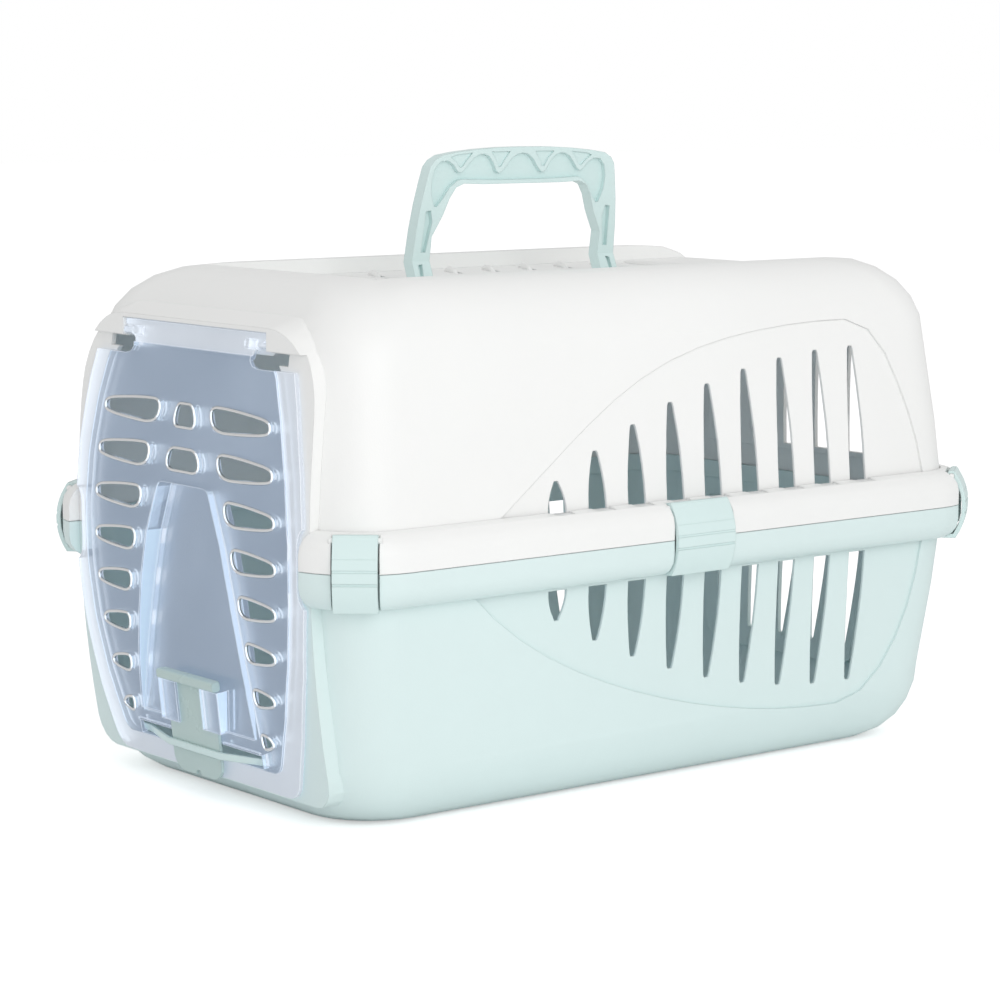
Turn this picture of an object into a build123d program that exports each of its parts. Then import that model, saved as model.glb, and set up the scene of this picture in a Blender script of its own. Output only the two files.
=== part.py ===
from build123d import *
from math import acos, atan, cos, degrees, pi, radians, sin, sqrt, tan
import os

os.makedirs("parts", exist_ok=True)

# Overall size, origin at the middle of the footprint on the floor
rim_length = 492
rim_width = 317
rim_corner = 46
seam_z = 146.5
roof_z = 296.5
wall = 3
seam_gap = 0.3

# Rim band around the seam
rim_height = 21
rim_depth = 12.5
rim_round = 12.5
rim_skin = 2.8
rim_steps = 4
tongue_clear = 0.8
tongue_thick = 2

# Side wall line at the seam
body_half = rim_width / 2 - rim_depth
body_end = rim_length / 2 - rim_depth
body_corner = rim_corner - rim_depth

# Lower tub: drafted wall, then an elliptic bottom edge
tub_edge_z = 46
tub_draft = (8.5, 7, 9.5)
tub_round = (31, 26, 27)
tub_corner_low = 42

# Upper cover: drafted wall, then an elliptic shoulder
cover_edge_z = 249
cover_draft = (11, 6, 6.5)
cover_round = (40, 46, 40)
cover_corner_high = 44
shoulder_steps = 6
inner_steps = 4
corner_steps = 8

# Front surround that carries the door
surround_half = 119
surround_bottom = 13
surround_corner = 45
hood_front_z = 271
hood_rear_half = 102
hood_rear_z = 292
hood_rear_y = -178
hood_rear_corner = 12

# Door
door_apex_y = -242.5
door_apex_z = 160
door_bottom_z = 15
door_top_z = 268.5
door_bottom_y = -229
door_top_y = -233
door_thick = 2.2
door_to_surround = 4.2
door_bottom_half = 92
door_mid_half = 117
door_mid_z = 135
door_top_half = 95
door_border = 12.5
door_step = 1.2
door_strips = 20
side_steps = 7

# Door hinge
hinge_z = 262
hinge_y = -231
hinge_pin_r = 2
hinge_clear = 0.08
knuckle_r = 3.2
knuckle_x0 = 52
knuckle_x1 = 63.5
pin_tip = 84
seat_x0 = 73.3
brow_front = -233.8
brow_low = 269.3
corner_low = 259.2
window_x0 = 69.5
window_x1 = 90.5
window_z0 = 252
window_z1 = 258.4
door_corner = [(73, 272), (72.2, 265.3), (64.4, 261.5), (60.5, 258), (59.6, 253.6), (62.3, 250.6), (67, 249.4)]

# Door air vents
vent_rows = 8
vent_top_z = 225.5
vent_pitch = 25.3

# Sunken middle of the door
channel_y = -232.5
channel_half = [(180, 25), (150, 38), (124, 45), (99, 50.5), (74, 55), (44, 58.5)]

# Latch, in a plane that leans with the foot of the door
latch_z = 42
latch_y = -233.6
latch_lean = 6.3
latch_gap = 0.5
latch_thick = 2
latch_bar_half = 28.8
latch_neck_half = 14
latch_plate_half = 24.5
latch_top_v = 31
latch_foot_v = -28
tongue_half = 9
head_front = -4.4
head_back = -6.4
guide_out = 30.6
guide_in = 12.5
guide_low = 1.3
guide_high = 25

# Spring bar in front of the latch
bar_flat_half = 27
bar_half = 60
bar_tab = 66
bar_slot_half = 63
bar_v = -11.8
bar_thick = 1.5
bar_height = 4

# Side air slots
slot_count = 9
slot_pitch = 29
slot_width = 13.3
slot_first_y = -88.5
slot_tip_half = 2.3
slot_fall = 0.97
upper_slot_root = 166.5
upper_slot_tip = 247
lower_slot_root = 123.5
lower_slot_tip = 43.7
leaf_depth = 1.4

# Rear air slots in a sunken panel
rear_count = 5
rear_width = 15
rear_upper_root = 169
rear_upper_tip = 240
rear_lower_root = 123.5
rear_lower_tip = 45
rear_depth = 4.5
rear_panel_half = 78

# Clips
clip_angle = 40
corner_clip_width = 24
side_clip_width = 43.5
side_clip_y = 6.5
clip_side_gap = 0.8
clip_pin_r = 1.6
clip_pin_depth = 6.5
clip_pin_z = 17.5
clip_thick = 2.6
clip_crown = 2.6
clip_end = 20.8
clip_lip_depth = 11.8

# Roof panel and handle
panel_z = 287
rail_inner = 88
panel_front_y = -172
panel_rear_y = 215
handle_y = -3.3
handle_axis_z = 282
handle_knee = (-6.3, 298)
handle_top = (4.8, 364.4)
handle_thick = 8
handle_web = 2.4
handle_rim = 2.8
handle_foot = 70.5
handle_foot_half = 6.3
handle_pin_r = 2.5
handle_cut = 1
wave_shift = -2
handle_outer = [
    (77.2, 277), (77.2, 292), (77, 300), (76, 317), (74.2, 332), (71.9, 344.6), (70, 353.4),
    (67, 357.3), (61.5, 360.2), (50, 361.9), (35, 363.3), (18, 364.2),
]
handle_inner = [
    (30, 342.6), (44, 343.2), (49.5, 341), (53.5, 335), (57.4, 325), (61.4, 317.5), (64.2, 312.5), (64.2, 277),
]
wave_line = [
    (0, 360.8), (4.5, 359.8), (8.5, 357), (12, 352.6), (14.8, 349.7), (16.8, 349), (18.6, 350), (21.5, 355),
    (25, 359), (29, 360.5), (32, 360.3), (36, 358.6), (40, 354.6), (43, 350.9), (45.4, 349.6), (47.5, 350.4),
    (51, 354.4), (55.5, 356.9), (60.5, 356.5), (64.3, 352.5), (66, 346), (65.5, 338), (62.5, 330.2),
]
lip_line = [(60.5, 330), (56.5, 334.8), (52.5, 341), (47.5, 344.9), (44, 345.8), (20, 345)]
wave_gaps = [
    [(9.5, 361.6), (13, 357), (15.6, 352.9), (17.2, 352.6), (20, 357.5), (23.8, 361.6)],
    [(37.6, 361.2), (41.4, 357), (44.2, 353.2), (46.2, 352.8), (49.2, 356), (53.5, 358.8), (50, 360)],
]
leg_slots = [
    [(70, 327.5), (66.6, 328), (64.8, 321.5), (67.8, 303.5), (71, 303.5)],
    [(70, 296.5), (73.2, 296), (73.4, 288), (71.2, 288)],
]
trough_half = 34
trough_floor_z = 275.5
trough_skin = 3.4

# Roof air arcs
arc_pitch = 29
arc_first_y = -146
arc_count = 11
arc_width = 4.2
arc_half = 70
arc_sag = 20


def round_off(corners, steps=4):
    """Points of a closed outline whose (x, y, radius) corners turn in short straight steps."""
    points = []
    for k, (x, y, r) in enumerate(corners):
        if r == 0:
            points.append((x, y))
            continue
        px, py = corners[k - 1][:2]
        nx, ny = corners[(k + 1) % len(corners)][:2]
        a = Vector(px - x, py - y).normalized()
        b = Vector(nx - x, ny - y).normalized()
        half = acos(a.dot(b)) / 2
        centre = Vector(x, y) + (a + b).normalized() * (r / sin(half))
        begin = Vector(x, y) + a * (r / tan(half)) - centre
        finish = Vector(x, y) + b * (r / tan(half)) - centre
        sweep = pi - 2 * half
        for i in range(steps + 1):
            t = i / steps
            arm = begin * (sin((1 - t) * sweep) / sin(sweep)) + finish * (sin(t * sweep) / sin(sweep))
            points.append((centre.X + arm.X, centre.Y + arm.Y))
    return points


def rounded(corners, steps=4):
    return make_face(Polyline(*round_off(corners, steps), close=True))


def rounded_box(width, length, corner):
    """Rectangle about the origin with stepped round corners."""
    points = []
    for turn, sx, sy in ((0, 1, 1), (90, -1, 1), (180, -1, -1), (270, 1, -1)):
        for k in range(corner_steps + 1):
            angle = radians(turn + 90 * k / corner_steps)
            x = sx * (width / 2 - corner) + corner * cos(angle)
            y = sy * (length / 2 - corner) + corner * sin(angle)
            points.append((x, y))
    return make_face(Polyline(*points, close=True))


def through(z, places):
    """Value at z of the smooth curve through three (z, value) places."""
    (a, p), (b, q), (c, r) = places
    u = (z - b) * (z - c) / ((a - b) * (a - c))
    v = (z - a) * (z - c) / ((b - a) * (b - c))
    w = (z - a) * (z - b) / ((c - a) * (c - b))
    return p * u + q * v + r * w


def station(z, half, front, rear, corner):
    flat = rounded_box(2 * half, rear - front, corner)
    return Plane.XY.offset(z) * Pos(0, (front + rear) / 2) * flat


def hull(edge_z, end_z, draft, bend, corner_end, inset=0, end_inset=0):
    """Skin from the seam to end_z, drawn in by inset; draft and bend are side, front, rear."""
    bends = inner_steps if end_inset else shoulder_steps
    end = end_z + (end_inset if end_z < seam_z else -end_inset)
    edge = edge_z
    sections = []
    steps = [(seam_z, 0, 0)]
    steps.append(((seam_z + edge) / 2, 0.42, 0))
    for k in range(bends + 1):
        angle = radians(90 * k / bends)
        steps.append((edge + (end - edge) * sin(angle), 1, 1 - cos(angle)))
    for z, drafted, bent in steps:
        side, front, rear = (drafted * d + bent * b for d, b in zip(draft, bend))
        turned = max(drafted * 0.4, bent)
        corner = body_corner + (corner_end - body_corner) * turned - inset
        half = body_half - side - inset
        sections.append(station(z, half, -body_end + front + inset, body_end - rear - inset, corner))
    return loft(sections, ruled=True)


def tub_hull(inset=0, end_inset=0):
    return hull(tub_edge_z, 0, tub_draft, tub_round, tub_corner_low, inset, end_inset)


def cover_hull(inset=0, end_inset=0):
    return hull(cover_edge_z, roof_z, cover_draft, cover_round, cover_corner_high, inset, end_inset)


def block(x0, x1, y0, y1, z0, z1):
    return Pos((x0 + x1) / 2, (y0 + y1) / 2, (z0 + z1) / 2) * Box(x1 - x0, y1 - y0, z1 - z0)


def both(solid):
    return solid + mirror(solid, about=Plane.YZ)


# Door face: one arc seen from the side
def door_radius():
    ax, ay = door_bottom_y, door_bottom_z
    bx, by = door_apex_y, door_apex_z
    cx, cy = door_top_y, door_top_z
    d = 2 * (ax * (by - cy) + bx * (cy - ay) + cx * (ay - by))
    a2 = ax * ax + ay * ay
    b2 = bx * bx + by * by
    c2 = cx * cx + cy * cy
    ux = (a2 * (by - cy) + b2 * (cy - ay) + c2 * (ay - by)) / d
    uy = (a2 * (cx - bx) + b2 * (ax - cx) + c2 * (bx - ax)) / d
    return ux, uy, sqrt((ax - ux) ** 2 + (ay - uy) ** 2)


arc_y, arc_z, arc_r = door_radius()


def face_y(z):
    return arc_y - sqrt(arc_r ** 2 - (z - arc_z) ** 2)


def barrel(depth, half_x=160):
    """Everything behind the door face moved back by depth, in flat strips."""
    points = []
    for k in range(door_strips + 1):
        z = -20 + 340 * k / door_strips
        points.append((depth + face_y(z), z))
    side = make_face(Polyline(*points, (-150, 320), (-150, -20), close=True))
    return extrude(Plane.YZ.offset(-half_x) * side, amount=2 * half_x)


def behind_band(near, far, half_x=160):
    return barrel(near, half_x) - barrel(far, half_x + 1)


def front_prism(face, y0=-262, y1=-190):
    """Sketch drawn as x, z and pushed along y."""
    sketch = Plane(origin=(0, y0, 0), x_dir=(1, 0, 0), z_dir=(0, -1, 0)) * face
    return extrude(sketch, amount=-(y1 - y0))


def door_outline(inset):
    bottom = door_bottom_z + inset
    top = door_top_z - inset
    places = (
        (bottom, door_bottom_half - inset),
        (door_mid_z, door_mid_half - inset),
        (top, door_top_half - inset),
    )
    right = []
    for k in range(side_steps + 1):
        z = bottom + (top - bottom) * k / side_steps
        r = max(14 - inset / 3, 6) if k == 0 else 16 if k == side_steps else 0
        right.append((through(z, places), z, r))
    left = [(-x, z, r) for x, z, r in reversed(right)]
    return rounded(right + left, 5)


# Side air slots and the leaf they sit in
def slot_face(y, root, tip, width=slot_width):
    """Slot with straight foot and a blunt tip, its sides bowed outward."""
    way = 1 if tip > root else -1
    shoulder = tip - way * slot_tip_half
    right = []
    for k in range(5):
        t = k / 4
        half = width / 2 * (1 - t) + slot_tip_half * t + 4.4 * t * (1 - t)
        right.append((y + half, root + (shoulder - root) * t))
    right.append((y + slot_tip_half * 0.62, tip - way * slot_tip_half * 0.25))
    left = [(2 * y - x, z) for x, z in reversed(right)]
    return make_face(Polyline(*right, *left, close=True))


def side_prism(face, x0=125, x1=165):
    """Sketch drawn as y, z and pushed along x, on both sides."""
    solid = extrude(Plane.YZ.offset(x0) * face, amount=x1 - x0)
    return both(solid)


def slots(root, tip):
    way = 1 if tip > root else -1
    cuts = []
    for k in range(slot_count):
        fall = slot_fall * (slot_count - 1 - k) ** 2
        cuts.append(slot_face(slot_first_y + k * slot_pitch, root, tip - way * fall))
    return [side_prism(face) for face in cuts]


def stepped(points, steps):
    """Straight steps along the smooth curve through the points."""
    curve = Spline(*points)
    return [tuple(curve.position_at(k / steps))[:2] for k in range(steps + 1)]


upper_leaf_line = [(-160, seam_z), (-99.6, 188.6), (-12.7, 241), (80, 260.5), (140, 262.5)]
upper_leaf_end = [(140, 262.5), (163, 252), (181, 222), (193.5, 187), (199.5, seam_z)]
lower_leaf_line = [(-166, seam_z), (-115, 98.8), (-57.6, 69.4), (18, 45.5), (98, 32.3), (135, 30.5)]
lower_leaf_end = [(135, 30.5), (159, 39), (181, 66), (193, 100), (199.5, seam_z)]
upper_leaf = make_face(Polyline(*stepped(upper_leaf_line, 14), *stepped(upper_leaf_end, 7)[1:], close=True))
lower_leaf = make_face(Polyline(*stepped(lower_leaf_line, 14), *stepped(lower_leaf_end, 7)[1:], close=True))


# Rear air slots, pushed along y
def rear_prism(face, y0=195, y1=245):
    sketch = Plane(origin=(0, y0, 0), x_dir=(-1, 0, 0), z_dir=(0, 1, 0)) * face
    return extrude(sketch, amount=y1 - y0)


def rear_slots(root, tip):
    middle = (rear_count - 1) / 2
    places = [(k - middle) * slot_pitch for k in range(rear_count)]
    return [rear_prism(slot_face(x, root, tip, rear_width)) for x in places]


def rear_panel(tip, grow):
    """Outline of the sunken rear panel on the side of the seam where the tip lies."""
    way = 1 if tip > seam_z else -1
    half = rear_panel_half + grow
    end = tip + way * (9 + grow)
    foot = seam_z + way * (rim_height + 1 - grow)
    return rounded([(-half, foot, 0), (half, foot, 0), (half * 0.9, end, 22), (-half * 0.9, end, 22)], 5)


# Places of the six clips: name, x, y, direction the clip faces
def clip_places():
    cx = rim_width / 2 - rim_corner
    cy = rim_length / 2 - rim_corner
    dx = rim_corner * cos(radians(clip_angle))
    dy = rim_corner * sin(radians(clip_angle))
    places = []
    for side, sx in (("right", 1), ("left", -1)):
        for end, sy in (("front", -1), ("rear", 1)):
            angle = degrees(atan(sy * sx * dy / dx)) + (0 if sx > 0 else 180)
            places.append((f"clip_{end}_{side}", sx * (cx + dx), sy * (cy + dy), angle, corner_clip_width))
        places.append((f"clip_side_{side}", sx * rim_width / 2, side_clip_y, 0 if sx > 0 else 180, side_clip_width))
    return places


def at_clip(place, solid):
    """Local frame: x outward from the rim crest, y along the rim, z up from the seam."""
    name, x, y, angle, length = place
    return Pos(x, y, seam_z) * Rot(0, 0, angle) * solid


def rim_band(up):
    """Half of the band, above the seam when up is 1 and below it when up is -1."""
    near = seam_gap / 2
    straight = rim_height - rim_round
    steps = [(near, 0), (straight, 0)]
    for k in range(1, rim_steps + 1):
        angle = radians(90 * k / rim_steps)
        steps.append((straight + rim_round * sin(angle), rim_round * (1 - cos(angle))))
    sections = []
    for height, inset in steps:
        flat = rounded_box(rim_width - 2 * inset, rim_length - 2 * inset, rim_corner - inset)
        sections.append(Plane.XY.offset(seam_z + up * height) * flat)
    outer = loft(sections, ruled=True)
    low = seam_z - rim_height - 1
    inner = extrude(
        Plane.XY.offset(low) * rounded_box(2 * (body_half - 1.5), 2 * (body_end - 1.5), body_corner - 1.5),
        amount=2 * rim_height + 2,
    )
    band = outer - inner
    # hollow of the band, open towards the seam
    void_top = straight + rim_round * 0.35
    void_low = seam_z + (near if up > 0 else -void_top)
    void = extrude(
        Plane.XY.offset(void_low)
        * (
            rounded_box(rim_width - 2 * rim_skin, rim_length - 2 * rim_skin, rim_corner - rim_skin)
            - rounded_box(2 * body_half, 2 * body_end, body_corner)
        ),
        amount=void_top - near,
    )
    for place in clip_places():
        keep = Box(60, place[4] + 2 * clip_side_gap + 6, 60)
        void -= at_clip(place, keep)
    band -= void
    band -= block(-surround_half, surround_half, -260, -200, seam_z - 30, seam_z + 30)
    plug = block(surround_half - 0.5, surround_half + 2.5, -rim_length / 2, -body_end + 1, 0, roof_z)
    plug = plug & outer
    band += plug + mirror(plug, about=Plane.YZ)
    return band


def clip_notch(place, floor):
    length = place[4] + 2 * clip_side_gap
    return at_clip(place, Pos(-floor / 2 + 10, 0, 0) * Box(floor + 20, length, 60))


# Front surround, whole height
def hood_form(inset):
    """Upper part of the surround before its front is cut to the door."""
    half = surround_half - inset
    sections = []
    low = seam_z - 20
    for y, h, z, corner in (
        (-262, half, hood_front_z - inset, surround_corner - inset),
        (-236, half, hood_front_z - inset, surround_corner - inset),
        (hood_rear_y, hood_rear_half - inset, hood_rear_z - inset, hood_rear_corner - inset),
    ):
        outline = rounded([(-h, low, 0), (h, low, 0), (h, z, corner), (-h, z, corner)], corner_steps)
        sections.append(Plane(origin=(0, y, 0), x_dir=(1, 0, 0), z_dir=(0, -1, 0)) * outline)
    hood = loft(sections, ruled=True)
    return hood & block(-200, 200, -262, hood_rear_y, seam_z, 320)


def surround(inset):
    half = surround_half - inset
    low = surround_bottom + inset
    apron = rounded([(-half, low, 16 - inset), (half, low, 16 - inset), (half, seam_z, 0), (-half, seam_z, 0)])
    return (hood_form(inset) + front_prism(apron)) & barrel(door_to_surround + inset)


# Lower shell
tub = tub_hull()
tub_cavity = tub_hull(wall, wall)
lower_leaf_skin = side_prism(lower_leaf, 120, 165) - tub_hull(leaf_depth)
cover = cover_hull()
cover_cavity = cover_hull(wall, wall)
cover_cavity -= block(-rail_inner - wall, rail_inner + wall, -200, 260, panel_z - wall, 330)
upper_leaf_skin = side_prism(upper_leaf, 120, 165) - cover_hull(leaf_depth)

surround_outer = surround(0)
surround_cavity = surround(wall)
doorway = front_prism(door_outline(door_border))
doorway_top = door_top_z - door_border
above = block(-300, 300, -300, 300, seam_z + seam_gap / 2, 400)
below = block(-300, 300, -300, 300, -10, seam_z - seam_gap / 2)

base = tub + (surround_outer & below)
base = (base - lower_leaf_skin) & below
base += rim_band(-1)
base -= tub_cavity
base -= surround_cavity & below
base -= doorway
base -= slots(lower_slot_root, lower_slot_tip)
panel_hull = tub_hull(rear_depth)
base += (rear_prism(rear_panel(rear_lower_tip, wall)) & tub_cavity & below) - tub_hull(rear_depth + wall, wall)
base -= rear_prism(rear_panel(rear_lower_tip, 0), 195, 236) - panel_hull
cuts = list(rear_slots(rear_lower_root, rear_lower_tip))
for place in clip_places():
    cuts.append(clip_notch(place, 8.5))
    gap = Box(20, place[4] + 2 * clip_side_gap, 10)
    cuts.append(at_clip(place, Pos(-rim_depth + 10.3, 0, -rim_height + 3 - 5) * gap))
base -= cuts

# Tongue that keeps the upper shell in line, on a foot that joins the wall
def inner_ring(inset, thick, z0, z1):
    half = body_half - inset
    end = body_end - inset
    corner = body_corner - inset
    outer = rounded_box(2 * half, 2 * end, corner)
    hole = rounded_box(2 * (half - thick), 2 * (end - thick), corner - thick)
    return extrude(Plane.XY.offset(z0) * (outer - hole), amount=z1 - z0)


tongue = inner_ring(wall + tongue_clear, tongue_thick, seam_z - 7, seam_z + 4)
tongue += inner_ring(wall / 2, tongue_thick + wall / 2 + tongue_clear, seam_z - 7, seam_z - 2)
tongue -= block(-surround_half, surround_half, -260, -190, 0, 300)
base += tongue

# Upper shell
top = cover + (surround_outer & above)
top = (top - upper_leaf_skin) & above
top += rim_band(1)
top -= block(-rail_inner, rail_inner, panel_front_y, panel_rear_y, panel_z, 330)
top -= cover_cavity
top -= surround_cavity & above & block(-200, 200, -300, -150, 0, panel_z - wall)
top -= doorway
top -= slots(upper_slot_root, upper_slot_tip)
panel_hull = cover_hull(rear_depth)
top += (rear_prism(rear_panel(rear_upper_tip, wall)) & cover_cavity & above) - cover_hull(rear_depth + wall, wall)
top -= rear_prism(rear_panel(rear_upper_tip, 0), 195, 236) - panel_hull
cuts = list(rear_slots(rear_upper_root, rear_upper_tip))
pins = []
for place in clip_places():
    cuts.append(clip_notch(place, 10.5))
    pin = Rot(90, 0, 0) * Cylinder(clip_pin_r, place[4] + 2 * clip_side_gap + 3)
    pins.append(at_clip(place, Pos(-clip_pin_depth, 0, clip_pin_z) * pin))


# Door hinge seat in the upper shell: brow, corner blocks with bores, rolled recess, windows
hinge_line = Pos(0, hinge_y, hinge_z) * Rot(0, 90, 0)
recess_r = 7.2
brow = block(-seat_x0, seat_x0, brow_front, -200, brow_low, 300)
brow += both(block(seat_x0, 130, brow_front, hinge_y + 5, corner_low, 300))
hood = hood_form(0)
seat = [(hood & brow) - hood_form(wall) - block(-200, 200, -226, -190, 0, 300)]
seat.append(hood & both(block(seat_x0, 130, brow_front, hinge_y + 5, corner_low, 300)))
pad = hinge_line * Cylinder(recess_r + 2.6, 2 * seat_x0 + 20)
pad &= block(-200, 200, hinge_y - 1, -200, doorway_top, hood_front_z)
seat.append(pad & barrel(door_to_surround))
top += seat
cuts.append(hinge_line * Cylinder(recess_r, 2 * seat_x0))
cuts.append(both(block(window_x0, window_x1, -250, -205, window_z0, window_z1)))
bore = Cylinder(hinge_pin_r + hinge_clear, pin_tip + 1 - seat_x0 + 2)
cuts.append(both(Pos((pin_tip + 1 + seat_x0 - 2) / 2, hinge_y, hinge_z) * Rot(0, 90, 0) * bore))

# Roof arcs
def arc_y_at(x, y):
    return y - arc_sag * (1 - (x / arc_half) ** 2)


def arc_slot(y, x0, x1):
    """Bowed slot between two places across the roof, nearer the front at the middle."""
    count = max(2, round(abs(x1 - x0) / 17))
    across = [x0 + (x1 - x0) * k / count for k in range(count + 1)]
    near = [(x, arc_y_at(x, y) - arc_width / 2) for x in across]
    far = [(x, arc_y_at(x, y) + arc_width / 2) for x in reversed(across)]
    return extrude(Plane.XY.offset(panel_z - 10) * make_face(Polyline(*near, *far, close=True)), amount=20)


for k in range(arc_count):
    y = arc_first_y + k * arc_pitch
    if abs(y - arc_sag / 2 - handle_y) < handle_foot + 22:
        cuts.append(both(arc_slot(y, 42, arc_half)))
    else:
        cuts.append(arc_slot(y, -arc_half, arc_half))
top -= cuts

# Troughs and pin seats for the handle
troughs = []
hollows = []
for sy in (-1, 1):
    foot = handle_y + sy * handle_foot
    half_y = handle_foot_half + 0.6
    wall_y = half_y + trough_skin + 0.6
    low = trough_floor_z - 2.5
    troughs.append(block(-trough_half - 2.5, trough_half + 2.5, foot - wall_y, foot + wall_y, low, panel_z))
    hollows.append(block(-trough_half, trough_half, foot - half_y, foot + half_y, trough_floor_z, panel_z + 20))
    bore = Rot(90, 0, 0) * Cylinder(handle_pin_r + hinge_clear, 2 * (half_y + trough_skin))
    hollows.append(Pos(0, foot, handle_axis_z) * bore)
top += [*pins, *troughs]
top -= hollows
export_step(base, "parts/base_shell.step")
export_step(top, "parts/top_shell.step")


# Door panel
def outline_half(z):
    """Half width of the door at height z."""
    places = ((door_bottom_z, door_bottom_half), (door_mid_z, door_mid_half), (door_top_z, door_top_half))
    return through(z, places)


def vent_inner(z):
    """Inner edge of a side vent: follows the sunken middle and closes in above it."""
    return through(z, ((225.5, 25), (124.5, 55), (48, 66.5)))


def vent_face(row):
    high = vent_top_z - row * vent_pitch
    low = high - 12.9 + 0.11 * row ** 2
    mid = (high + low) / 2
    x_high = vent_inner(high)
    x_low = vent_inner(low)
    tip = outline_half(mid) - 25.3
    r = 3.6
    crown = (x_high + tip - r) / 2
    bow = (high + mid + r) / 2 + 1.1
    corners = [
        (x_low, low, 1.6),
        (tip - 0.4, mid - r, r - 0.4),
        (tip - 0.4, mid + r - 0.4, r - 0.4),
        (crown, bow, 0),
        (x_high, high, 1.6),
    ]
    return rounded(corners, 3)


def centre_vent(half_high, half_low, high, low):
    r = 2.5
    return rounded([(half_high, high, r), (-half_high, high, r), (-half_low, low, r), (half_low, low, r)], 3)


def vents():
    faces = [vent_face(row) for row in range(vent_rows)]
    solids = [both(front_prism(face)) for face in faces]
    solids.append(front_prism(centre_vent(8, 11.5, 225, 212.5)))
    solids.append(front_prism(centre_vent(14, 17.5, 200, 188)))
    return solids


def channel_face(grow):
    count = len(channel_half)
    right = []
    for k, (z, half) in enumerate(channel_half):
        rise = grow if k == 0 else -grow if k == count - 1 else 0
        right.append((half + grow, z + rise, 7 + grow if k == 0 else 0))
    left = [(-x, z, r) for x, z, r in reversed(right)]
    return rounded(left + right, 4)


door = front_prism(door_outline(0)) - front_prism(door_outline(door_border + door_thick))
door = door & behind_band(door_step, door_step + door_thick)
door += front_prism(door_outline(door_border)) & behind_band(0, door_thick)
sunk = front_prism(channel_face(0))
sunk_outer = front_prism(channel_face(2))
front_of_floor = block(-100, 100, -262, channel_y, -10, 320)
door -= sunk & front_of_floor
floor_plate = block(-100, 100, channel_y, channel_y + 2, -10, 320)
door += (sunk_outer - sunk) & block(-100, 100, -262, channel_y + 2, -10, 320) & barrel(0)
door += sunk_outer & floor_plate & barrel(0)
door -= vents()
notch_half = rim_height + 3
notch = extrude(
    Plane(origin=(0, -262, seam_z), x_dir=(1, 0, 0), z_dir=(0, -1, 0))
    * Pos(surround_half + 12, 0)
    * rounded([(-20, -notch_half, 12), (20, -notch_half, 0), (20, notch_half, 0), (-20, notch_half, 12)], 4),
    amount=-72,
)
door -= both(notch)
cut_line = Polyline(*door_corner, (140, door_corner[-1][1]), (140, door_corner[0][1]), close=True)
door -= both(front_prism(make_face(cut_line)))
knuckle = Pos((knuckle_x0 + knuckle_x1) / 2, hinge_y, hinge_z) * Rot(0, 90, 0)
door += both(knuckle * Cylinder(knuckle_r, knuckle_x1 - knuckle_x0)) & barrel(0)
pin = Pos((knuckle_x1 + pin_tip) / 2 - 1, hinge_y, hinge_z) * Rot(0, 90, 0)
door += both(pin * Cylinder(hinge_pin_r, pin_tip - knuckle_x1 + 1))

# Latch frame: x across, y up along the door, z out of the door
lean = radians(latch_lean)
latch_plane = Plane(
    origin=(0, latch_y, latch_z),
    x_dir=(1, 0, 0),
    z_dir=(0, -cos(lean), -sin(lean)),
)


def latch_block(x0, x1, v0, v1, n0, n1):
    solid = Pos((x0 + x1) / 2, (v0 + v1) / 2, (n0 + n1) / 2) * Box(x1 - x0, v1 - v0, n1 - n0)
    return latch_plane.location * solid


# Openings of the door for the spring bar and the latch tongue
bar_low = bar_v - bar_height / 2
bar_high = bar_v + bar_height / 2
door -= latch_block(-bar_slot_half, bar_slot_half, bar_low - 0.4, bar_high + 4, -20, 6)
door -= latch_block(-tongue_half - 1, tongue_half + 1, bar_low - 0.4, 5, -20, 6)
slot_rim = latch_block(-bar_slot_half, bar_slot_half, bar_high + 4, bar_high + 5.4, -2, 0.9)
slot_rim -= latch_block(-tongue_half - 17, tongue_half + 17, -20, 20, -20, 20)
door += slot_rim

# Guides that hold the slider
lip_back = latch_gap + latch_thick + 0.5
guide = latch_block(guide_out - 1.5, guide_out, guide_low, guide_high, -6, lip_back + 1.5)
guide &= block(-100, 100, -262, channel_y + 1, -10, 320)
guide += latch_block(guide_in, guide_out, guide_low, guide_high, lip_back, lip_back + 1.5)
door += both(guide)
export_step(door, "parts/door_panel.step")

# Latch slider
face = Pos(0, 13) * Rectangle(2 * latch_neck_half, 30)
face += Pos(0, latch_top_v - 2.8) * RectangleRounded(2 * latch_bar_half, 5.6, 2)
plate_top = 0.5
plate = Pos(0, (plate_top + latch_foot_v) / 2) * Rectangle(2 * latch_plate_half, plate_top - latch_foot_v)
plate = fillet(plate.vertices().sort_by(Axis.Y)[:2], 10)
face += plate
notch_face = Pos(0, latch_foot_v) * Circle(3)
face -= notch_face
slider = extrude(latch_plane.offset(latch_gap) * face, amount=latch_thick)
grip = latch_block(-latch_bar_half, latch_bar_half, latch_top_v - 5.6, latch_top_v, latch_gap, 6)
grip = fillet(grip.edges().filter_by(Axis.X), 1.8)
slider += grip
head_half = tongue_half + 5
slider += latch_block(-tongue_half, tongue_half, bar_v + 0.6, bar_v + 4.6, head_back, latch_gap + 0.5)
slider += latch_block(-head_half, head_half, bar_v + 0.6, bar_v + 8.6, head_back, head_front)
export_step(slider, "parts/latch_slider.step")

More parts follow.
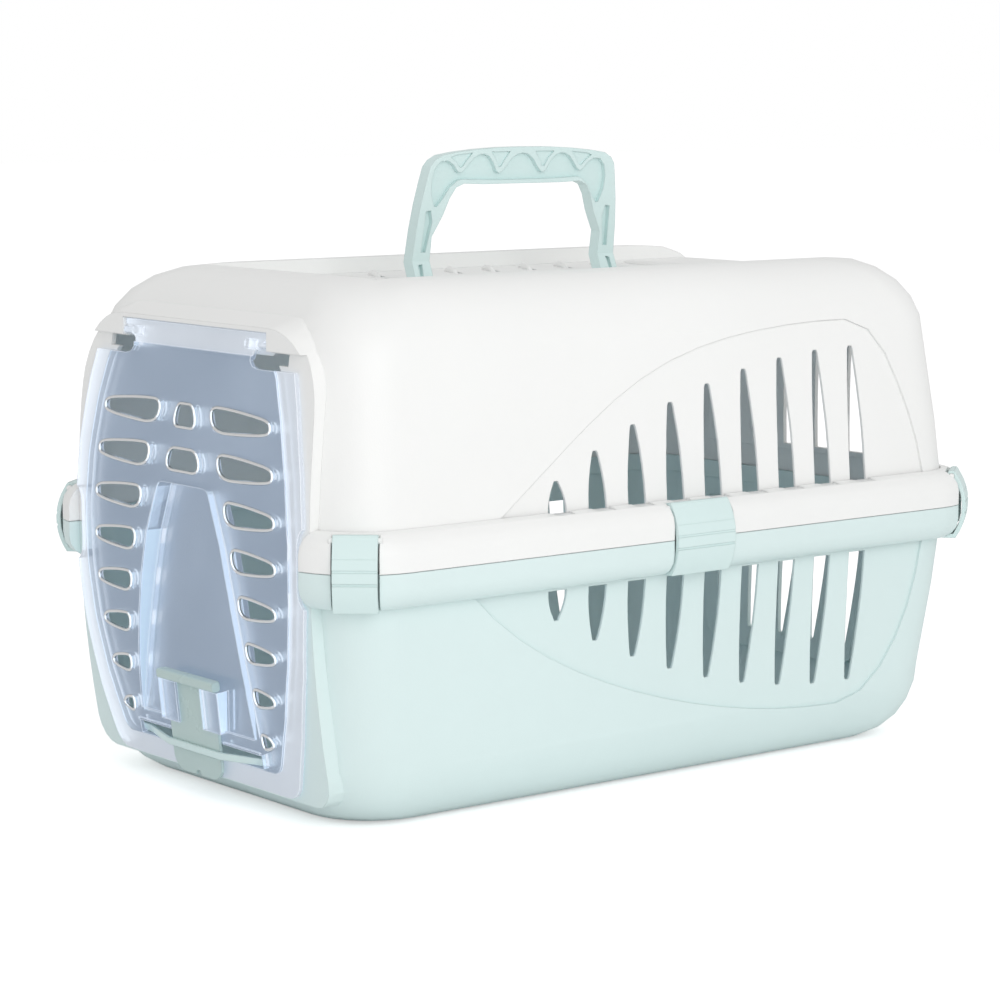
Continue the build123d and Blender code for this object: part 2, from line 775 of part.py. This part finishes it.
# Spring bar bowed over the slider, with tabs behind the door skin
bar_front = latch_gap + latch_thick + 0.3
bar_back = -5.7
bow = Polyline(
    (-bar_tab, bar_back),
    (-bar_half, bar_back),
    (-bar_flat_half, bar_front),
    (bar_flat_half, bar_front),
    (bar_half, bar_back),
    (bar_tab, bar_back),
)
bow_face = make_face(bow + Line(bow @ 1, (bar_tab, bar_back + bar_thick)) + Polyline(
    (bar_tab, bar_back + bar_thick),
    (bar_half - 1, bar_back + bar_thick),
    (bar_flat_half, bar_front + bar_thick),
    (-bar_flat_half, bar_front + bar_thick),
    (1 - bar_half, bar_back + bar_thick),
    (-bar_tab, bar_back + bar_thick),
    (-bar_tab, bar_back),
))
bow_plane = Plane(
    origin=latch_plane.origin + latch_plane.y_dir * bar_high,
    x_dir=(1, 0, 0),
    z_dir=-latch_plane.y_dir,
)
bar = extrude(bow_plane * bow_face, amount=bar_height)
export_step(bar, "parts/latch_spring_bar.step")

# Carry handle
def turned(points):
    """The same points on the other side, in reverse order."""
    return [(-y, z) for y, z in reversed(points)]


def handle_prism(face, shift=0):
    return extrude(Plane.YZ.offset(-20) * Pos(handle_y + shift, 0) * face, amount=40)


def leg_strip(thick):
    """Side view of the handle: foot, knee, top."""
    (kx, kz), (tx, tz) = handle_knee, handle_top
    line = Polyline((0, handle_axis_z), (kx, kz), (tx, tz + 2))
    strip = Plane(origin=(0, 0, 0), x_dir=(1, 0, 0), z_dir=(0, -1, 0)) * make_face(
        offset(line, thick / 2, kind=Kind.INTERSECTION)
    )
    return extrude(strip, amount=-120) + extrude(strip, amount=120)


outer_line = [*handle_outer, (0, handle_top[1]), *turned(handle_outer)]
inner_line = [*turned(handle_inner), *handle_inner]
outline = make_face(Polyline(*outer_line, *inner_line, close=True))
field = make_face(Polyline(*turned(wave_line[1:]), *wave_line, *lip_line, *turned(lip_line), close=True))
strip = leg_strip(handle_thick)
web = leg_strip(handle_web)
shallow = leg_strip(handle_thick - 2 * handle_cut)
handle = handle_prism(outline) & strip
handle -= handle_prism(field, wave_shift) & (strip - web)
for side in (1, -1):
    for gap in wave_gaps:
        face = make_face(Polyline(*[(side * y, z) for y, z in gap], close=True))
        handle -= handle_prism(face, wave_shift) & (strip - shallow)
    for cut in leg_slots:
        face = make_face(Polyline(*[(side * y, z) for y, z in cut], close=True))
        handle -= handle_prism(face) & (strip - web)
for sy in (-1, 1):
    foot = handle_y + sy * handle_foot
    hub = Rot(90, 0, 0) * Cylinder(handle_thick / 2 + 0.6, 2 * handle_foot_half)
    handle += Pos(0, foot, handle_axis_z) * hub
    pin = Rot(90, 0, 0) * Cylinder(handle_pin_r, 2 * (handle_foot_half + 0.6 + trough_skin - 0.6))
    handle += Pos(0, foot, handle_axis_z) * pin
export_step(handle, "parts/carry_handle.step")

# Clips
def arc_points(start, middle, end, steps):
    curve = ThreePointArc(start, middle, end)
    return [tuple(curve.position_at(k / steps))[:2] for k in range(steps + 1)]


outer_arc = arc_points((-5.2, clip_end), (clip_crown, 0), (-3.6, -clip_end), 10)
inner_arc = arc_points((-5, -clip_end + clip_thick), (0, 0), (-7, clip_pin_z + 1), 6)
lip = [(-clip_lip_depth, -clip_end), (-clip_lip_depth, -clip_end + 2.4)]
section = make_face(Polyline(*outer_arc, *lip, *inner_arc, close=True))
section += Pos(-clip_pin_depth, clip_pin_z) * Circle(3.2)
section -= Pos(-clip_pin_depth, clip_pin_z) * Circle(clip_pin_r + hinge_clear)
clip_plane = Plane(origin=(0, 0, 0), x_dir=(1, 0, 0), z_dir=(0, -1, 0))
for place in clip_places():
    length = place[4]
    body = extrude(clip_plane.offset(-length / 2) * section, amount=length)
    for z in (9.3, 2.2, -4.9):
        depth = clip_crown - 0.5 - 0.013 * z * z
        body -= Pos(depth + 1, 0, z) * Box(2, length + 1, 1.3)
    clip = at_clip(place, body)
    export_step(clip, f"parts/{place[0]}.step")
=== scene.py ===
import bpy
import math
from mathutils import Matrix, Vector


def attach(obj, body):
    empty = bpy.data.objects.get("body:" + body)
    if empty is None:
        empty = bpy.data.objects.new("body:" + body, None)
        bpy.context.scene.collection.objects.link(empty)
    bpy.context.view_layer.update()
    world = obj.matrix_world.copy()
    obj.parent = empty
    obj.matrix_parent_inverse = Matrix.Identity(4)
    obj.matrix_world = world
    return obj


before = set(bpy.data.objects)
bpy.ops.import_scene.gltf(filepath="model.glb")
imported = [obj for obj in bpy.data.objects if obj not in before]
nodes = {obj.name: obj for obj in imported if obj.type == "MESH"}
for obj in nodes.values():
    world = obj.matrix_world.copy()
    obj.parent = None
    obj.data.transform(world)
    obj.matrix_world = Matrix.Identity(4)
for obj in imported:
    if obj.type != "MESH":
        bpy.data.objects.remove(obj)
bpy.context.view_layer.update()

# Door, in millimetres of the CAD frame: (y, z) places on its face, then (height, half width) of its outline
MM = 0.001
door_low = (-229.0, 15.0)
door_middle = (-242.5, 160.0)
door_high = (-233.0, 268.5)
door_halves = ((15, 92), (135, 117), (268.5, 95))
door_border = 12.9
door_foot_z = 26.0
door_band_z = 256.0

# Side vents of the door: (height, distance from the middle) of their inner ends
vent_count = 8
vent_top_z = 225.5
vent_pitch = 25.3
vent_tall = 12.9
vent_growth = 0.11
vent_tip_inset = 25.3
vent_roots = ((225.5, 25), (124.5, 55), (48, 66.5))

# Centre vents: half width and height of the lower edge, then of the upper edge
centre_vents = ((11.5, 212.5, 8, 225), (17.5, 188, 14, 200))

# Raised rims round the vents
rim_inside = 0.5
centre_rim_inside = 0.4
rim_outside = 1.5
rim_rise = 0.7

# Roof arcs and the lips in front of them
roof_z = 287
arc_count = 11
arc_first_y = -146
arc_pitch = 29
arc_half = 70
arc_sag = 20
short_arc_start = 42
handle_y = -3.3
handle_zone = 92.5
lip_tall = 3.4
lip_step = 5

# Studio, in metres
floor_half = 12.0
camera_place = (1.4344, -1.1466, 0.4022)
camera_target = (0.0882, -0.0860, 0.1680)
camera_lens = 110.05


def through(z, places):
    """Value at z of the smooth curve through three (z, value) places."""
    (a, p), (b, q), (c, r) = places
    u = (z - b) * (z - c) / ((a - b) * (a - c))
    v = (z - a) * (z - c) / ((b - a) * (b - c))
    w = (z - a) * (z - b) / ((c - a) * (c - b))
    return p * u + q * v + r * w


# Shader helpers
def empty_material(name):
    """Material with nothing in its tree but the output."""
    mat = bpy.data.materials.new(name)
    mat.use_nodes = True
    tree = mat.node_tree
    tree.nodes.clear()
    return mat, tree, tree.nodes.new("ShaderNodeOutputMaterial")


def add(tree, kind, **values):
    """New shader node, with the named input sockets set; an underscore stands for a space."""
    node = tree.nodes.new(f"ShaderNode{kind}")
    for socket, value in values.items():
        node.inputs[socket.replace("_", " ")].default_value = value
    return node


def colour_ramp(tree, low, high):
    """Ramp that turns a noise into a drift between two colours."""
    ramp = add(tree, "ValToRGB")
    first, last = ramp.color_ramp.elements
    first.position = 0.3
    last.position = 0.7
    first.color = (*low, 1)
    last.color = (*high, 1)
    return ramp


def colour_mix(tree, second):
    """Mix of a colour with the given second one."""
    mix = add(tree, "Mix")
    mix.data_type = "RGBA"
    mix.inputs["B"].default_value = (*second, 1)
    return mix


# Materials
def plastic(name, color, rough=0.42, tint=0.03, edge_highlight_amount=0.05):
    """Moulded plastic: fine spark grain, slow colour drift, painted highlight on sharp convex edges."""
    mat, tree, out = empty_material(name)
    link = tree.links.new
    bsdf = add(tree, "BsdfPrincipled", IOR=1.49, Specular_IOR_Level=0.42)
    coord = add(tree, "TexCoord")
    # Slow drift of the colour through the moulding
    drift = add(tree, "TexNoise", Scale=9.0, Detail=4.0)
    link(coord.outputs["Object"], drift.inputs["Vector"])
    low = [max(c * (1 - tint), 0) for c in color]
    high = [min(c * (1 + tint * 0.5), 1) for c in color]
    ramp = colour_ramp(tree, low, high)
    link(drift.outputs["Fac"], ramp.inputs["Fac"])
    # Painted highlight: paler colour on sharp convex edges, found by pointiness
    geo = add(tree, "NewGeometry")
    edge = add(tree, "MapRange", From_Min=0.52, From_Max=0.62, To_Min=0.0, To_Max=edge_highlight_amount)
    link(geo.outputs["Pointiness"], edge.inputs["Value"])
    mix = colour_mix(tree, [min(c * 0.5 + 0.5, 1) for c in color])
    link(edge.outputs["Result"], mix.inputs["Factor"])
    link(ramp.outputs["Color"], mix.inputs["A"])
    link(mix.outputs["Result"], bsdf.inputs["Base Color"])
    # Sheen that breaks up where hands and cloths have rubbed
    rub = add(tree, "TexNoise", Scale=22.0, Detail=6.0, Roughness=0.65)
    link(coord.outputs["Object"], rub.inputs["Vector"])
    sheen = add(tree, "MapRange", From_Min=0.35, From_Max=0.65, To_Min=rough - 0.05, To_Max=rough + 0.06)
    link(rub.outputs["Fac"], sheen.inputs["Value"])
    link(sheen.outputs["Result"], bsdf.inputs["Roughness"])
    # Spark-eroded grain over softened edges
    grains = add(tree, "TexNoise", Scale=1100.0, Detail=2.0)
    link(coord.outputs["Object"], grains.inputs["Vector"])
    bump = add(tree, "Bump", Strength=0.35, Distance=0.00012)
    link(grains.outputs["Fac"], bump.inputs["Height"])
    soft = add(tree, "Bevel", Radius=0.0008)
    soft.samples = 4
    link(soft.outputs["Normal"], bump.inputs["Normal"])
    link(bump.outputs["Normal"], bsdf.inputs["Normal"])
    link(bsdf.outputs["BSDF"], out.inputs["Surface"])
    return mat


def clear_plastic(name, haze, tint, opacity, edge_highlight_colour, light=0.3, inner_light=(0.6, 0.755, 1.0)):
    """Thin clear moulding: hazy over what lies behind it, with painted highlights on its moulded edges and
    a painted glow.
    """
    mat, tree, out = empty_material(name)
    link = tree.links.new
    coord = add(tree, "TexCoord")
    geo = add(tree, "NewGeometry")
    # Uneven haze of the moulding
    cloud = add(tree, "TexNoise", Scale=14.0, Detail=5.0)
    link(coord.outputs["Object"], cloud.inputs["Vector"])
    ramp = colour_ramp(tree, [c * 0.9 for c in haze], haze)
    link(cloud.outputs["Fac"], ramp.inputs["Fac"])
    # How near the point lies to a moulded edge
    soft = add(tree, "Bevel", Radius=0.0009)
    soft.samples = 6
    dot = add(tree, "VectorMath")
    dot.operation = "DOT_PRODUCT"
    link(soft.outputs["Normal"], dot.inputs[0])
    link(geo.outputs["Normal"], dot.inputs[1])
    near = add(tree, "MapRange", From_Min=0.985, From_Max=0.86)
    link(dot.outputs["Value"], near.inputs["Value"])
    # Painted highlight: colour drawn towards a pale white near moulded edges
    edge_highlight_mix = colour_mix(tree, edge_highlight_colour)
    link(near.outputs["Result"], edge_highlight_mix.inputs["Factor"])
    link(ramp.outputs["Color"], edge_highlight_mix.inputs["A"])
    body = add(tree, "BsdfDiffuse")
    link(edge_highlight_mix.outputs["Result"], body.inputs["Color"])
    # Clear between the edges, more opaque at them so the painted edge highlight shows
    clear = add(tree, "BsdfTransparent", Color=(*tint, 1))
    rise = add(tree, "MapRange", To_Min=opacity, To_Max=0.82)
    link(near.outputs["Result"], rise.inputs["Value"])
    inner = add(tree, "MixShader")
    link(rise.outputs["Result"], inner.inputs["Fac"])
    link(clear.outputs["BSDF"], inner.inputs[1])
    link(body.outputs["BSDF"], inner.inputs[2])
    # Painted glow: emission standing in for light scattered inside the haze
    glow = add(tree, "Emission", Color=(*inner_light, 1), Strength=light)
    hazy = add(tree, "AddShader")
    link(inner.outputs["Shader"], hazy.inputs[0])
    link(glow.outputs["Emission"], hazy.inputs[1])
    # Surface shine with slight flow marks
    flow = add(tree, "TexNoise", Scale=40.0)
    link(coord.outputs["Object"], flow.inputs["Vector"])
    bump = add(tree, "Bump", Strength=0.2, Distance=0.0004)
    link(flow.outputs["Fac"], bump.inputs["Height"])
    link(soft.outputs["Normal"], bump.inputs["Normal"])
    rub = add(tree, "MapRange", To_Min=0.12, To_Max=0.26)
    link(cloud.outputs["Fac"], rub.inputs["Value"])
    gloss = add(tree, "BsdfGlossy")
    link(rub.outputs["Result"], gloss.inputs["Roughness"])
    link(bump.outputs["Normal"], gloss.inputs["Normal"])
    fresnel = add(tree, "Fresnel", IOR=1.46)
    link(bump.outputs["Normal"], fresnel.inputs["Normal"])
    mix = add(tree, "MixShader")
    link(fresnel.outputs["Fac"], mix.inputs["Fac"])
    link(hazy.outputs["Shader"], mix.inputs[1])
    link(gloss.outputs["BSDF"], mix.inputs[2])
    link(mix.outputs["Shader"], out.inputs["Surface"])
    return mat


white = plastic("white_plastic", (0.92, 0.925, 0.915), rough=0.45, tint=0.015)
mint = plastic("mint_plastic", (0.735, 0.868, 0.862), rough=0.42, tint=0.02)
trim = plastic("trim_plastic", (0.69, 0.85, 0.84), rough=0.38, tint=0.025, edge_highlight_amount=0.12)
grey_green = plastic("grey_green_plastic", (0.50, 0.64, 0.62), rough=0.3, tint=0.03, edge_highlight_amount=0.12)
clear = clear_plastic(
    "clear_plastic",
    haze=(0.60, 0.77, 0.98),
    tint=(1.0, 0.99, 0.97),
    opacity=0.14,
    edge_highlight_colour=(0.95, 0.96, 0.98),
)
# Painted light: paler, more opaque, more glowing copy of the clear plastic for the door border and top band
border = clear_plastic(
    "clear_border_painted_light",
    haze=(0.90, 0.945, 0.99),
    tint=(1.0, 1.0, 1.0),
    opacity=0.5,
    edge_highlight_colour=(0.96, 0.97, 0.99),
    light=0.33,
    inner_light=(0.74, 0.83, 0.97),
)
# Painted highlight: paler, more opaque, more glowing copy of the clear plastic for the vent rims
rims = clear_plastic(
    "door_rim_painted_highlight",
    haze=(0.90, 0.95, 1.0),
    tint=(1.0, 1.0, 1.0),
    opacity=0.5,
    edge_highlight_colour=(0.95, 0.98, 1.0),
    light=0.4,
    inner_light=(0.85, 0.93, 1.0),
)


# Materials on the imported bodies
def dress(name, mat, smooth=True):
    """Give a CAD node its material, and even shading if its faces are curved."""
    obj = nodes[name]
    obj.data.materials.clear()
    obj.data.materials.append(mat)
    for poly in obj.data.polygons:
        poly.use_smooth = smooth
    if not smooth:
        return
    weld = obj.modifiers.new("join_facets", "WELD")
    weld.merge_threshold = 0.00002
    split = obj.modifiers.new("hard_edges", "EDGE_SPLIT")
    split.split_angle = math.radians(26)
    even = obj.modifiers.new("even_faces", "WEIGHTED_NORMAL")
    even.weight = 90


def mark_door_border():
    """The stepped-back border of the door and the band under the brow get a paler, more opaque, more
    glowing copy of the clear plastic: painted light.
    """
    mesh = nodes["door_panel"].data
    mesh.materials.append(border)
    for poly in mesh.polygons:
        spot = poly.center / MM
        half = through(spot.z, door_halves)
        if abs(spot.x) > half - door_border or spot.z > door_band_z or spot.z < door_foot_z:
            poly.material_index = 1


dress("top_shell", white)
dress("base_shell", mint)
dress("door_panel", clear, smooth=False)
mark_door_border()
dress("latch_slider", grey_green)
dress("latch_spring_bar", trim)
dress("carry_handle", trim)
for side in ("right", "left"):
    for end in ("front", "side", "rear"):
        dress(f"clip_{end}_{side}", trim)


# Pieces of the scene, built in millimetres
def piece(name, parts, mat, body):
    """One smooth mesh out of several (vertices, faces) parts, riding with a CAD body."""
    verts, faces = [], []
    for part_verts, part_faces in parts:
        start = len(verts)
        verts += [(x * MM, y * MM, z * MM) for x, y, z in part_verts]
        faces += [tuple(i + start for i in face) for face in part_faces]
    mesh = bpy.data.meshes.new(name)
    mesh.from_pydata(verts, [], faces)
    mesh.materials.append(mat)
    for poly in mesh.polygons:
        poly.use_smooth = True
    mesh.update()
    obj = bpy.data.objects.new(name, mesh)
    bpy.context.scene.collection.objects.link(obj)
    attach(obj, body)


# Raised rims round the vents of the door
def door_curve():
    """Centre (y, z) and radius of the arc that the door face follows."""
    (ay, az), (by, bz), (cy, cz) = door_low, door_middle, door_high
    area_twice = 2 * (ay * (bz - cz) + by * (cz - az) + cy * (az - bz))
    a2, b2, c2 = ay * ay + az * az, by * by + bz * bz, cy * cy + cz * cz
    centre_y = (a2 * (bz - cz) + b2 * (cz - az) + c2 * (az - bz)) / area_twice
    centre_z = (a2 * (cy - by) + b2 * (ay - cy) + c2 * (by - ay)) / area_twice
    return centre_y, centre_z, math.hypot(ay - centre_y, az - centre_z)


curve_y, curve_z, curve_r = door_curve()


def face_y(z):
    return curve_y - math.sqrt(curve_r ** 2 - (z - curve_z) ** 2)


def soften(points, rounds=2):
    """Closed outline with its corners cut again and again."""
    for _ in range(rounds):
        cut = []
        for (x0, z0), (x1, z1) in zip(points, points[1:] + points[:1]):
            cut.append((x0 * 0.75 + x1 * 0.25, z0 * 0.75 + z1 * 0.25))
            cut.append((x0 * 0.25 + x1 * 0.75, z0 * 0.25 + z1 * 0.75))
        points = cut
    return points


def grown(points, width):
    """Closed anticlockwise outline moved outward."""
    out = []
    count = len(points)
    for k in range(count):
        (x0, z0), (x1, z1), (x2, z2) = points[k - 1], points[k], points[(k + 1) % count]
        ax, az, bx, bz = x1 - x0, z1 - z0, x2 - x1, z2 - z1
        la, lb = math.hypot(ax, az) or 1, math.hypot(bx, bz) or 1
        nx, nz = az / la + bz / lb, -ax / la - bx / lb
        size = math.hypot(nx, nz) or 1
        out.append((x1 + nx / size * width, z1 + nz / size * width))
    return out


def rim(outline, inside):
    """Low rounded rim along a closed outline on the door face, with its foot sunk into the door."""
    profile = (
        (-inside, -0.9),
        (-inside, rim_rise * 0.6),
        (0.0, rim_rise),
        (rim_outside * 0.6, rim_rise * 0.8),
        (rim_outside, -0.3),
    )
    verts = []
    for width, lift in profile:
        verts += [(x, face_y(z) - lift, z) for x, z in grown(outline, width)]
    count = len(outline)
    faces = []
    for a in range(len(profile)):
        b = (a + 1) % len(profile)
        for k in range(count):
            n = (k + 1) % count
            faces.append((a * count + k, a * count + n, b * count + n, b * count + k))
    return verts, faces


def vent_outline(row):
    """Side vent, anticlockwise: straight lower edge, blunt tip, bowed upper edge."""
    high = vent_top_z - row * vent_pitch
    low = high - vent_tall + vent_growth * row ** 2
    mid = (high + low) / 2
    tip = through(mid, door_halves) - vent_tip_inset
    x_high, x_low = through(high, vent_roots), through(low, vent_roots)
    tall = high - low
    return soften([
        (x_low - 0.2, low - 0.1),
        ((x_low + tip) / 2, (low + mid) / 2 - tall * 0.2),
        (tip - 2.5, mid - tall * 0.3),
        (tip + 0.9, mid - tall * 0.08),
        (tip - 1.5, mid + tall * 0.26),
        (x_high * 0.35 + tip * 0.65, high - tall * 0.1),
        (x_high * 0.7 + tip * 0.3, high + 0.1),
        (x_high - 0.2, high + 0.1),
    ])


vent_rims = []
for row in range(vent_count):
    right = vent_outline(row)
    left = [(-x, z) for x, z in reversed(right)]
    vent_rims += [rim(right, rim_inside), rim(left, rim_inside)]
for half_low, low, half_high, high in centre_vents:
    box = [(-half_low, low), (0, low), (half_low, low), (half_high, high), (0, high), (-half_high, high)]
    vent_rims.append(rim(soften(box), centre_rim_inside))
piece("door_vent_rims", vent_rims, rims, "door")


# Raised lips along the roof arcs
def lip(y, x0, x1):
    """Low bowed ridge in front of a roof arc, lower at its ends."""
    steps = max(6, round(abs(x1 - x0) / lip_step))
    verts, faces = [], []
    for k in range(steps + 1):
        x = x0 + (x1 - x0) * k / steps
        along = 2 * k / steps - 1
        tall = lip_tall * math.sqrt(max(0.0, 1 - along * along)) + 0.05
        front = y - arc_sag * (1 - (x / arc_half) ** 2) - 2.2
        profile = ((-2.6, -0.4), (-1.7, tall * 0.75), (-0.6, tall), (0.3, tall * 0.85), (0.2, -0.4))
        verts += [(x, front + back, roof_z + up) for back, up in profile]
    for k in range(steps):
        for j in range(5):
            a, b = k * 5 + j, k * 5 + (j + 1) % 5
            faces.append((a, b, b + 5, a + 5))
    faces.append((4, 3, 2, 1, 0))
    faces.append(tuple(steps * 5 + j for j in range(5)))
    return verts, faces


lips = []
for k in range(arc_count):
    y = arc_first_y + arc_pitch * k
    if abs(y - arc_sag / 2 - handle_y) < handle_zone:
        lips += [lip(y, short_arc_start, arc_half), lip(y, -arc_half, -short_arc_start)]
    else:
        lips.append(lip(y, -arc_half, arc_half))
piece("roof_arc_lips", lips, white, "carrier")


# Floor
def floor_material():
    """Pale floor that reads white to the camera and keeps a faint shadow."""
    mat, tree, out = empty_material("studio_floor")
    link = tree.links.new
    matt = add(tree, "BsdfDiffuse", Color=(0.96, 0.96, 0.96, 1))
    lift = add(tree, "Emission", Strength=0.42)
    both = add(tree, "AddShader")
    link(matt.outputs["BSDF"], both.inputs[0])
    link(lift.outputs["Emission"], both.inputs[1])
    path = add(tree, "LightPath")
    pick = add(tree, "MixShader")
    link(path.outputs["Is Camera Ray"], pick.inputs["Fac"])
    link(matt.outputs["BSDF"], pick.inputs[1])
    link(both.outputs["Shader"], pick.inputs[2])
    link(pick.outputs["Shader"], out.inputs["Surface"])
    return mat


floor_mesh = bpy.data.meshes.new("studio_floor")
corners = [(-floor_half, -floor_half, 0), (floor_half, -floor_half, 0)]
corners += [(floor_half, floor_half, 0), (-floor_half, floor_half, 0)]
floor_mesh.from_pydata(corners, [], [(0, 1, 2, 3)])
floor = bpy.data.objects.new("studio_floor", floor_mesh)
bpy.context.scene.collection.objects.link(floor)
floor_mesh.materials.append(floor_material())


# Light
def white_world():
    """White to the camera, and a little dimmer as light."""
    world = bpy.data.worlds.new("studio")
    world.use_nodes = True
    tree = world.node_tree
    link = tree.links.new
    background = tree.nodes["Background"]
    background.inputs["Color"].default_value = (1, 1, 1, 1)
    background.inputs["Strength"].default_value = 0.7
    seen = add(tree, "Background", Color=(1, 1, 1, 1), Strength=1.0)
    path = add(tree, "LightPath")
    pick = add(tree, "MixShader")
    link(path.outputs["Is Camera Ray"], pick.inputs["Fac"])
    link(background.outputs["Background"], pick.inputs[1])
    link(seen.outputs["Background"], pick.inputs[2])
    link(pick.outputs["Shader"], tree.nodes["World Output"].inputs["Surface"])
    return world


def softbox(name, place, aim, size, watts):
    """Round area light that faces a point."""
    data = bpy.data.lights.new(name, "AREA")
    data.shape = "DISK"
    data.size = size
    data.energy = watts
    obj = bpy.data.objects.new(name, data)
    obj.location = place
    obj.rotation_euler = (Vector(aim) - Vector(place)).to_track_quat("-Z", "Y").to_euler()
    bpy.context.scene.collection.objects.link(obj)


scene = bpy.context.scene
scene.world = white_world()
scene.view_settings.view_transform = "Standard"
softbox("key_softbox", (1.9, -0.6, 0.95), (0, 0, 0.15), size=1.6, watts=12.5)
softbox("top_softbox", (-0.3, 0.2, 2.3), (0, 0, 0.2), size=1.8, watts=1.5)

# Camera
camera_data = bpy.data.cameras.new("camera")
camera_data.sensor_width = 36
camera_data.lens = camera_lens
camera_data.clip_end = 60
camera = bpy.data.objects.new("camera", camera_data)
camera.location = camera_place
camera.rotation_euler = (Vector(camera_target) - camera.location).to_track_quat("-Z", "Y").to_euler()
scene.collection.objects.link(camera)
scene.camera = camera
